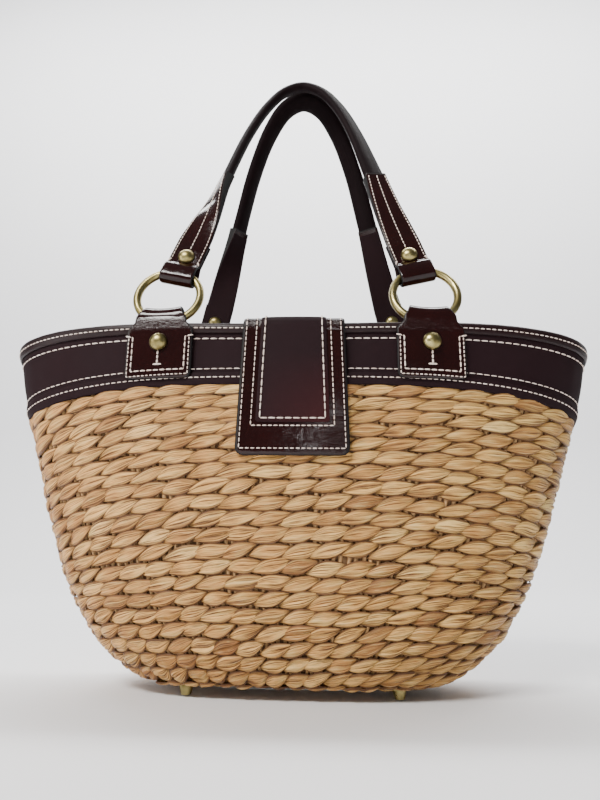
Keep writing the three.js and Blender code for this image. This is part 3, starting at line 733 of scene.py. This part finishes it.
band_levels = np.linspace(1.6, BAND_HEIGHT, 9)
band_profile = np.array([(v, 0.0) for v in band_levels] + [(v, -BAND_WALL) for v in band_levels[::-1]])
hoop("rim_band_leather", rounded(band_profile, 1), MATTE, ("rim_band",), 0.15)
hoop("rim_trim_leather", rounded([
    (BAND_HEIGHT - TRIM_HEIGHT, 0.1), (BAND_HEIGHT - TRIM_HEIGHT, 1.2), (BAND_HEIGHT - 4, 1.7),
    (BAND_HEIGHT + .4, 1.2), (BAND_HEIGHT + .4, 0.1), (BAND_HEIGHT - 4, 0.1)]), MATTE,
    ("rim_lower_trim",), 0.12)
hoop("rim_binding_leather", rounded([
    (6.4, .1), (6.4, 1.4), (4.6, 1.9), (1.6, 1.9), (-.2, 1.0), (-.7, -1.5), (-.7, -5.5), (-.2, -7.8),
    (1.6, -RIM_INSIDE), (4.6, -RIM_INSIDE), (6.4, -8.4), (6.4, -7.4), (3.6, -7.3), (1.4, -6.4),
    (1.3, -1.2), (3.6, .1)]), BINDING, ("rim_binding",), 0.12)


def rim_row(pile, level, offset, pitch, length, radius):
    angle = turn(np.linspace(0, 1, 3001))
    points = wall(angle, level, offset)
    outward = wall(angle, level, offset + 1) - points
    stitches(pile, points, outward, pitch, length, radius)


# Level, offset, pitch, stitch length and thread radius of each row round the rim
RIM_ROWS = [(3.4, 1.85, 3.6, 2.9, .30), (9.8, 0.10, 5.1, 4.3, .36), (29.2, 0.10, 4.5, 3.8, .30),
            (34.9, 1.50, 3.7, 3.0, .30)]
rim_thread = Pile()
for row in RIM_ROWS:
    rim_row(rim_thread, *row)
rim_thread.piece("rim_stitches", THREAD)


# Flap

def flap_line():
    out = PROUD + FLAP_WALL / 2

    def face(level):
        down = level + float(sag(level))
        return (-float(half_depth(down)) - out, -down)

    between = (FLAP_DROP + BAND_HEIGHT) / 2
    levels = [FLAP_DROP, between, BAND_HEIGHT, BAND_HEIGHT / 2, BINDING_HEIGHT, BINDING_ROUND]
    front = [face(level) for level in levels]
    radius = GAP + BINDING_ROUND + FLAP_WALL / 2
    edge_y, edge_z = -RIM_HALF_DEPTH - out + radius, -BINDING_ROUND - MIDDLE_SAG
    turns = [math.pi / 2 * share for share in (.33, .67, 1)]
    corner = [(edge_y - radius * math.cos(t), edge_z + radius * math.sin(t)) for t in turns]
    low = FLAP_WALL / 2 + GAP - MIDDLE_SAG
    crest = ((.89, .25), (.5, .85), (0, 1))
    over = [(-depth * RIM_HALF_DEPTH, low + rise * FLAP_RISE) for depth, rise in crest]
    half = front + corner + over
    back = [(-y, z) for y, z in half[:-1][::-1] if z > FLAP_CORNER - FLAP_BACK_DROP]
    y, z = face(FLAP_BACK_DROP)
    return Path(spline([(0, y, z) for y, z in half + back + [(-y, z)]]))


FLAP = flap_line()


def flap_frame(place):
    along = FLAP.along(place)
    normal = np.stack([0 * along[..., 0], -along[..., 2], along[..., 1]], -1)
    return FLAP.at(place), normal


def flap_width(place):
    widen = np.maximum(0, (FLAP_DROP - place) / FLAP_DROP)
    return FLAP_TOP_WIDTH + (FLAP_END_WIDTH - FLAP_TOP_WIDTH) * widen


def flap_strip(start, stop, margin, lift, thickness, power, crown, corner):
    ends = np.array([0, .1, .3, .6, 1.0]) * corner
    straight = np.linspace(start + corner, stop - corner, 120)
    place = np.unique(np.concatenate([start + ends, straight, stop - ends]))
    point, normal = flap_frame(place)
    width = corner_width(flap_width(place) - 2 * margin, corner, np.minimum(place - start, stop - place))
    lateral = np.tile([1.0, 0, 0], (len(place), 1))
    edge = np.minimum(np.minimum(place - start, stop - place) / 1.2 + .35, 1)
    return strap(point + normal * lift, lateral, normal, width, thickness * edge, power, 21, crown=crown)


flap = flap_strip(0, FLAP.length, 0, 0, FLAP_WALL, 70, .25, FLAP_CORNER)
skinned("closure_flap_leather", [flap], PATENT, ("closure_flap",))
pile = Pile()
PANEL_LIFT = (FLAP_WALL + PANEL_WALL) / 2 + .1
PANEL_STOP = FLAP.length - PANEL_SIDE_MARGIN
pile.add(flap_strip(PANEL_END_MARGIN, PANEL_STOP, PANEL_SIDE_MARGIN, PANEL_LIFT, PANEL_WALL, 30, .3, 1.5),
         wrap_v=True, caps=True)
pile.piece("flap_panel_leather", PANEL, ("flap_panel",), sharp=60)


def flap_row(pile, side, end, lift, pitch, length, radius):
    """A row down the left side of the flap, across its end and up the right side."""
    stop = FLAP.length - end
    down = np.linspace(stop, end, 300)
    x = flap_width(down) / 2 - side
    cross = np.linspace(-1, 1, 40) * (flap_width(end) / 2 - side)
    at_end, at_stop = np.full(40, float(end)), np.full(40, float(stop))
    for places, xs in ((down, -x), (at_end, cross), (down, x), (at_stop, cross)):
        point, normal = flap_frame(places)
        point = point + normal * lift
        point[:, 0] += xs
        stitches(pile, point, normal, pitch, length, radius)


# Distance from the sides and the ends, lift, pitch, stitch length and thread radius of each row
FLAP_ROWS = [(2.4, 4.0, FLAP_WALL / 2 + .1, 3.2, 2.5, .29), (8.4, 17.0, FLAP_WALL / 2 + .22, 3.2, 2.6, .30),
             (13.5, 21.2, PANEL_LIFT + .68, 4.6, 4.2, .38)]
pile = Pile()
for row in FLAP_ROWS:
    flap_row(pile, *row)
pile.piece("flap_stitches", THREAD)


# Ring tabs, rings and handles, each made for the front and mirrored for the back

def tab_frame(hand):
    angle = front_angle(hand * RING_X, 0.0)
    rim = wall(angle, 0.0)
    outward = wall(angle, 0.0, 1.0) - rim
    lateral = np.array([-outward[1], outward[0], 0])
    middle = (GAP + BINDING_WALL - RIM_INSIDE) / 2
    wire = rim + outward * middle + [0, 0, GAP + WIRE_RADIUS]
    return rim, outward, lateral, wire


LEAN = math.atan2(-(HANDLE_WIDTH / 2 + GAP) - tab_frame(1)[3][1], HANDLE_HEIGHT - tab_frame(1)[3][2])


def flip(grid, side):
    """The grid on the front, or its mirror image on the back."""
    return grid if side < 0 else grid * [1, -1, 1]


def tab_place(hand, across, levels, lift):
    """Points of a tab's outer patch."""
    angles = np.array([front_angle(hand * RING_X + x, level) for x, level in zip(across, levels)])
    return wall(angles, levels, PROUD + TAB_WALL / 2 + lift)


def ring_tab(hand):
    rim, outward, lateral, wire = tab_frame(hand)
    reach = (PROUD + RIM_INSIDE + GAP + TAB_WALL) / 2
    centre = reach - RIM_INSIDE - GAP - TAB_WALL / 2
    side = math.sqrt(RING_RADIUS ** 2 - (TAB_FOLD_WIDTH / 2) ** 2)
    wire_z = wire[2] + (RING_RADIUS - side) * math.cos(LEAN)
    shift = (RING_RADIUS - side) * math.sin(LEAN) + TAB_FOLD_WIDTH / 2 * abs(outward[0])
    room = reach - TAB_WALL / 2 - GAP - WIRE_RADIUS * RING_RADIUS / side
    spring = wire_z - math.sqrt(max(room ** 2 - shift ** 2, 0)) - TAB_ARCH
    stations = []
    top = spring + reach

    def flared(height):
        share = min(max((top - height) / (top + TAB_SHOULDER), 0), 1)
        return TAB_FOLD_WIDTH + (TAB_WIDTH - TAB_FOLD_WIDTH) * share ** 1.25

    def leg(offset, level, drop, face):
        inner = TAB_FOLD_WIDTH + (TAB_WIDTH - TAB_FOLD_WIDTH) * min(level / TAB_FLARE, 1)
        width = flared(-level) if face > 0 else inner
        left, middle, right = (wall(front_angle(hand * RING_X + x, level), level, offset)
                               for x in (-width / 2, 0, width / 2))
        bend = np.dot(middle - (left + right) / 2, outward)
        away = drop - level
        wide = float(corner_width(width, TAB_CORNER, np.array(away)))
        stations.append((middle, outward * face, wide, -face * bend, TAB_WALL * min(away + .35, 1)))

    corner = [TAB_DROP, TAB_DROP - .4, TAB_DROP - 1.2, TAB_DROP - 2.4]
    for level in np.concatenate([corner, np.linspace(TAB_DROP - 4, 0, 18)]):
        leg(centre + reach, level, TAB_DROP, 1)
    for t in np.linspace(0, math.pi, 22):
        point = rim + outward * (centre + reach * math.cos(t))
        point[2] = spring + reach * math.sin(t)
        normal = outward * math.cos(t) + np.array([0, 0, 1.0]) * math.sin(t)
        width = flared(point[2]) if t < math.pi / 2 else TAB_FOLD_WIDTH
        stations.append((point, normal, width, TAB_ARCH * math.sin(t), TAB_WALL))
    corner = [TAB_INNER_DROP - 2, TAB_INNER_DROP]
    for level in np.concatenate([np.linspace(0, TAB_INNER_DROP - 4, 12), corner]):
        leg(centre - reach, level, TAB_INNER_DROP, -1)
    points, normals, widths, arches, walls = (np.array(v) for v in zip(*stations))
    laterals = np.tile(lateral, (len(points), 1))
    return strap(points, laterals, normals, widths, walls, 45, 21, arches, .2)


def arch_line():
    wire = tab_frame(1)[3]
    ring_z = wire[2] + RING_RADIUS * math.cos(LEAN)
    half = []
    for rise, spread in ARCH:
        z = ring_z + rise * (HANDLE_HEIGHT - ring_z)
        half.append((spread * wire[0], wire[1] + (z - wire[2]) * math.tan(LEAN), z))
    apex = (0, wire[1] + (HANDLE_HEIGHT - wire[2]) * math.tan(LEAN), HANDLE_HEIGHT)
    left = [(-x, y, z) for x, y, z in half]
    return Path(spline(left + [apex] + half[::-1]))


HANDLE = arch_line()


def handle_frame(place):
    place = np.asarray(place, float)
    along = HANDLE.along(place)
    degrees = smooth(TWIST, place / HANDLE.length)
    twist = np.radians(degrees)[..., None]
    lean = LEAN * (1 - degrees / 90)
    depth = np.stack([0 * lean, np.cos(lean), -np.sin(lean)], -1)
    depth = unit(depth - along * np.sum(depth * along, -1, keepdims=True))
    outward = np.cross(along, depth)
    normal = -depth * np.cos(twist) + outward * np.sin(twist)
    return HANDLE.at(place), normal, unit(np.cross(normal, along))


SEAM = HANDLE_END_LENGTH - GAP / 2
SIDE = math.sqrt(RING_RADIUS ** 2 - (HANDLE_END_WIDTH / 2) ** 2)
FOLD = SIDE - WIRE_RADIUS * (RING_RADIUS / SIDE - 1)
POCKET_TOP = RING_RADIUS + WIRE_RADIUS + GAP
SEWN = POCKET_TOP + 2 * HANDLE_LAYER
END = RING_RADIUS + HANDLE_RETURN
STUD_UP = RING_RADIUS + HANDLE_STUD_UP
DOUBLED = HANDLE_LAYER / 2 + GAP / 2
POCKET = WIRE_RADIUS + GAP + HANDLE_LAYER / 2


def end_width(up):
    taper = np.clip((up - END) / (SEAM - END), 0, 1)
    return HANDLE_END_WIDTH + (HANDLE_SEAM_WIDTH - HANDLE_END_WIDTH) * taper


def end_place(hand, up):
    return np.asarray(up, float) if hand < 0 else HANDLE.length - np.asarray(up, float)


def near_fold(up):
    """From 0 where a handle end is sewn to 1 where it opens round the ring."""
    return np.clip((SEWN - up) / (SEWN - POCKET_TOP), 0, 1)


def seam_wall(t):
    """Thickness of a handle end, from its seam to where it is a single layer."""
    return HANDLE_SEAM_THICKNESS + t ** .7 * (HANDLE_LAYER - HANDLE_SEAM_THICKNESS)


def face_lift(up):
    """Height of a handle end's outer face over the handle's middle line."""
    t = np.clip((SEAM - up) / (SEAM - END - HANDLE_LAYER), 0, 1)
    return t * DOUBLED + seam_wall(t) / 2 + near_fold(up) * (POCKET - DOUBLED)


# Stations of a handle end: along its taper, its outer layer, its fold and its inner layer
TAPER, OUTER, BEND, INNER = 16, 13, 22, 12
BEND_OUTSIDE = 18
LINING = slice(1, 27)


def handle_end(hand):
    """Skins of a handle end: its outside, its inside and the lining behind its outer layer."""
    def layer(up):
        near = near_fold(up)
        return DOUBLED + (POCKET - DOUBLED) * (3 * near ** 2 - 2 * near ** 3)

    t = np.linspace(0, 1, TAPER)
    a = np.linspace(0, math.pi, BEND)
    outer_up = np.linspace(END + HANDLE_LAYER, POCKET_TOP, OUTER + 1)[1:]
    inner_up = np.linspace(POCKET_TOP, END, INNER)
    taper_up = SEAM + t * (END + HANDLE_LAYER - SEAM)
    up = np.concatenate([taper_up, outer_up, FOLD - POCKET * np.sin(a), inner_up])
    off = np.concatenate([t * DOUBLED, layer(outer_up), POCKET * np.cos(a), -layer(inner_up)])
    thick = np.concatenate([seam_wall(t), np.full(OUTER + BEND + INNER, HANDLE_LAYER)])
    point, normal, lateral = handle_frame(end_place(hand, up))
    point = point + normal * off[:, None]
    along = unit(np.gradient(point, axis=0))
    outer = unit(np.cross(along, lateral))
    outer = outer * np.sign(np.sum(outer[:1] * normal[:1]))

    def part(use, sink=0.0, wall_here=None, narrower=0.0):
        walls = thick[use] if wall_here is None else wall_here
        middle = point[use] - outer[use] * (thick[use] / 2)[:, None] * sink
        return strap(middle, lateral[use], outer[use], end_width(up[use]) - narrower, walls, 30, 19)

    turned = TAPER + OUTER + BEND_OUTSIDE
    return part(slice(0, turned)), part(slice(turned - 1, None)), part(LINING, 1.0, 0.3, 1.0)


def handle_middle():
    place = np.linspace(SEAM + GAP - 2, HANDLE.length - SEAM - GAP + 2, 150)
    point, normal, lateral = handle_frame(place)
    return strap(point, lateral, normal, HANDLE_WIDTH, HANDLE_THICKNESS, 2.6, 19)


# Outlines of radius and height
STUD_RADIUS = STUD_DIAMETER / 2
RISES = np.linspace(0, math.pi / 2 - .02, 12)
DOME = [(STUD_RADIUS * math.cos(t), STUD_HEIGHT * math.sin(t)) for t in RISES]
STUD = [(.01, -.1), (STUD_RADIUS - .4, -.1), (STUD_RADIUS, 0)] + DOME
TOP, TIP = FOOT_TOP_DIAMETER / 2, FOOT_TIP_DIAMETER / 2
FOOT = [(.01, -FOOT_HEIGHT), (TIP, -FOOT_HEIGHT), (.85 * TOP, -FOOT_COLLAR), (TOP, -FOOT_COLLAR),
        (TOP, 0), (.01, 0)]


def torus(centre, axis, radius, wire):
    axis = unit(axis)
    side = unit(np.cross(axis, [0, 0, 1.0]))
    other = np.cross(axis, side)
    a = np.linspace(0, 2 * math.pi, 72, endpoint=False)[:, None, None]
    b = np.linspace(0, 2 * math.pi, 18, endpoint=False)[None, :, None]
    radial = np.cos(a) * side + np.sin(a) * other
    return centre + radial * (radius + wire * np.cos(b)) + axis * wire * np.sin(b)


def end_row(pile, hand, side, up, x, lift, stitch):
    """Stitches along a line on a handle end, at a distance x from its middle."""
    point, normal, lateral = handle_frame(end_place(hand, up))
    point = point + normal * (face_lift(up) + lift)[:, None] + lateral * x[:, None]
    stitches(pile, flip(point, side), flip(normal, side), *stitch)


def tab_rows(pile, hand, side):
    """The two rows round a tab's patch, and the short tack under its stud."""
    def path(half, bottom, top, hook):
        across = [np.full(20, -half), np.linspace(-half, half, 24)[1:-1], np.full(20, half)]
        level = [np.linspace(top, bottom, 20), np.full(22, bottom), np.linspace(bottom, top, 20)]
        if hook:
            across = [[-half - hook], *across, [half + hook]]
            level = [[top - 1.0], *level, [top - 1.0]]
        return np.concatenate(across), np.concatenate(level)

    for half, bottom, hook, pitch, length, radius in (
            (TAB_WIDTH / 2 - 1.9, TAB_DROP - 1.9, 0, 2.6, 1.9, .29),
            (TAB_WIDTH / 2 - 4.3, TAB_DROP - 4.9, 4.9, 4.0, 3.6, .40)):
        across, level = path(half, bottom, 9.6, hook)
        point = tab_place(hand, across, level, TAB_WALL / 2 + .12)
        normal = tab_place(hand, across, level, TAB_WALL / 2 + 1.12) - point
        stitches(pile, flip(point, side), flip(normal, side), pitch, length, radius)
    post = np.zeros(8), np.linspace(TAB_STUD_DOWN + 5, TAB_STUD_DOWN + 13.2, 8), 2.8
    bar = np.linspace(-3.2, 3.2, 8), np.full(8, TAB_STUD_DOWN + 13.6), 6.4
    for across, level, pitch in (post, bar):
        point = tab_place(hand, across, level, TAB_WALL / 2 + .15)
        normal = tab_place(hand, across, level, TAB_WALL / 2 + 1.15) - point
        stitches(pile, flip(point, side), flip(normal, side), pitch, .88 * pitch, .5)


for side, side_name in ((-1, "front"), (1, "back")):
    middle = flip(handle_middle(), side)
    skinned(f"handle_{side_name}_leather", [middle], HANDLE_LEATHER, (f"handle_{side_name}",))
    thread = Pile()
    for hand, hand_name in ((-1, "left"), (1, "right")):
        name = f"{side_name}_{hand_name}"
        rim, outward, lateral, wire = tab_frame(hand)
        tab = flip(ring_tab(hand), side)
        outer, inner, lining = (flip(grid, side) for grid in handle_end(hand))
        skinned(f"ring_tab_{name}_leather", [tab], PATENT, (f"ring_tab_{name}",))
        skinned(f"handle_end_{name}_leather", [outer], PATENT, (f"handle_end_{name}",))
        skinned(f"handle_end_{name}_lining", [inner, lining], MATTE)

        pile = Pile()
        centre = wire + np.array([0, math.sin(LEAN), math.cos(LEAN)]) * RING_RADIUS
        axis = np.array([0, -math.cos(LEAN), math.sin(LEAN)])
        pile.add(flip(torus(centre, axis, RING_RADIUS, WIRE_RADIUS), side), wrap_u=True, wrap_v=True)
        pile.piece(f"ring_{name}_brass", BRASS, (f"ring_{name}",))

        grip, normal, _ = handle_frame(end_place(hand, STUD_UP))
        rise = HANDLE_LAYER + GAP
        seat = rim + outward * (PROUD + TAB_WALL + .1) - [0, 0, TAB_STUD_DOWN]
        for stud, point, facing in ((f"tab_stud_{name}", seat, outward),
                                    (f"handle_stud_{name}", grip + normal * rise, normal),
                                    (f"handle_stud_inner_{name}", grip - normal * rise, -normal)):
            pile = Pile()
            pile.add(flip(spin(STUD, point, facing), side), wrap_v=True)
            pile.piece(f"{stud}_brass", BRASS, (stud,), sharp=50)
        pile = Pile()
        foot_at = (hand * FOOT_X, side * FOOT_Y, -BASKET_HEIGHT - GAP)
        pile.add(spin(FOOT, foot_at, (0, 0, 1)), wrap_v=True)
        pile.piece(f"foot_{name}_brass", BRASS, (f"foot_{name}",), sharp=40)

        up = np.linspace(SEWN + 3, SEAM - 2, 60)
        for sign in (-1, 1):
            end_row(thread, hand, side, up, sign * (end_width(up) / 2 - 1.9), -.05, (2.9, 2.2, .30))
        up = np.linspace(STUD_UP + 7, SEAM - 2, 60)
        end_row(thread, hand, side, up, 0 * up, -.05, (3.2, 2.5, .30))
        up = np.linspace(SEWN - .5, SEWN + 2.5, 6)
        for sign in (-1, 1):
            tack = sign * (end_width(up) / 2 - np.linspace(.6, 2.2, 6))
            end_row(thread, hand, side, up, tack, .1, (3.4, 3.0, .6))
        tab_rows(thread, hand, side)
    thread.piece(f"{side_name}_stitches", THREAD)


# Camera, floor and light

def stand(name, data, axes, position):
    """A camera or a lamp at its place, looking against the third of its axes."""
    obj = bpy.data.objects.new(name, data)
    matrix = np.eye(4)
    matrix[:3, :3] = np.stack(axes, 1)
    matrix[:3, 3] = position
    obj.matrix_world = Matrix(matrix.tolist())
    bpy.context.scene.collection.objects.link(obj)
    return obj


def camera(position, azimuth, pitch, roll):
    a, p, r = (math.radians(v) for v in (azimuth, pitch, roll))
    forward = np.array([-math.sin(a) * math.cos(p), math.cos(a) * math.cos(p), math.sin(p)])
    right = np.array([math.cos(a), math.sin(a), 0])
    up = np.cross(right, forward)
    right, up = right * math.cos(r) + up * math.sin(r), up * math.cos(r) - right * math.sin(r)
    data = bpy.data.cameras.new("camera")
    data.sensor_width = 36
    data.lens = 27
    data.clip_start = 0.01
    place = np.array(position) * MM
    bpy.context.scene.camera = stand("camera", data, (right, up, -forward), place)


def lamp(name, position, target, size, power, color):
    data = bpy.data.lights.new(name, "AREA")
    data.shape = "RECTANGLE"
    data.size, data.size_y = size
    data.energy = power
    data.color = color
    back = unit(np.array(position) - np.array(target))
    right = unit(np.cross([0, 0, 1.0], back))
    stand(name, data, (right, np.cross(back, right), back), position)


def backdrop():
    """A pale floor that curves up into a pale wall behind the bag."""
    paint = Paint("backdrop_pale")
    spot = paint.noise(paint.place(), 2.0, 2.0)
    color = paint.mix(spot, rgb(.80, .80, .81), rgb(.84, .84, .85))
    material = paint.finish(Base_Color=color, Roughness=0.9, Specular_IOR_Level=0.1)
    floor = (RIM_Z - BASKET_HEIGHT - GAP - FOOT_HEIGHT - 1) * MM
    bend = np.linspace(0, math.pi / 2, 24)
    curve = [(1.3 + 0.6 * math.sin(a), floor + 0.6 * (1 - math.cos(a))) for a in bend]
    line = [(-2.5, floor)] + curve + [(1.9, 3.4)]
    points = [(x, y, z) for y, z in line for x in (-4, 4)]
    faces = [(2 * i, 2 * i + 1, 2 * i + 3, 2 * i + 2) for i in range(len(line) - 1)]
    mesh = bpy.data.meshes.new("backdrop")
    mesh.from_pydata(points, [], faces)
    mesh.shade_smooth()
    mesh.materials.append(material)
    obj = bpy.data.objects.new("backdrop", mesh)
    bpy.context.scene.collection.objects.link(obj)


def sky():
    world = bpy.data.worlds.new("pale")
    world.use_nodes = True
    background = world.node_tree.nodes["Background"]
    background.inputs["Color"].default_value = rgb(.93, .96, 1.0)
    background.inputs["Strength"].default_value = 0.19
    bpy.context.scene.world = world


camera((19.2, -404.9, -373.75), 2.6, 16.0, 0.8)
backdrop()
sky()
MIDDLE = (0, 0, -0.25)
lamp("key", (-0.62, -1.20, 0.80), MIDDLE, (0.7, 0.35), 38, (1.0, 0.98, 0.95))
lamp("left", (-1.40, -0.75, -0.02), MIDDLE, (0.8, 0.8), 8, (1.0, 0.97, 0.94))
lamp("front", (0.09, -1.45, -0.20), MIDDLE, (0.05, 0.08), 0.9, (1.0, 1.0, 1.0))
lamp("wall", (0, 0.60, 2.3), (0, 1.9, 0.5), (4.0, 0.6), 190, (1.0, 1.0, 1.0))
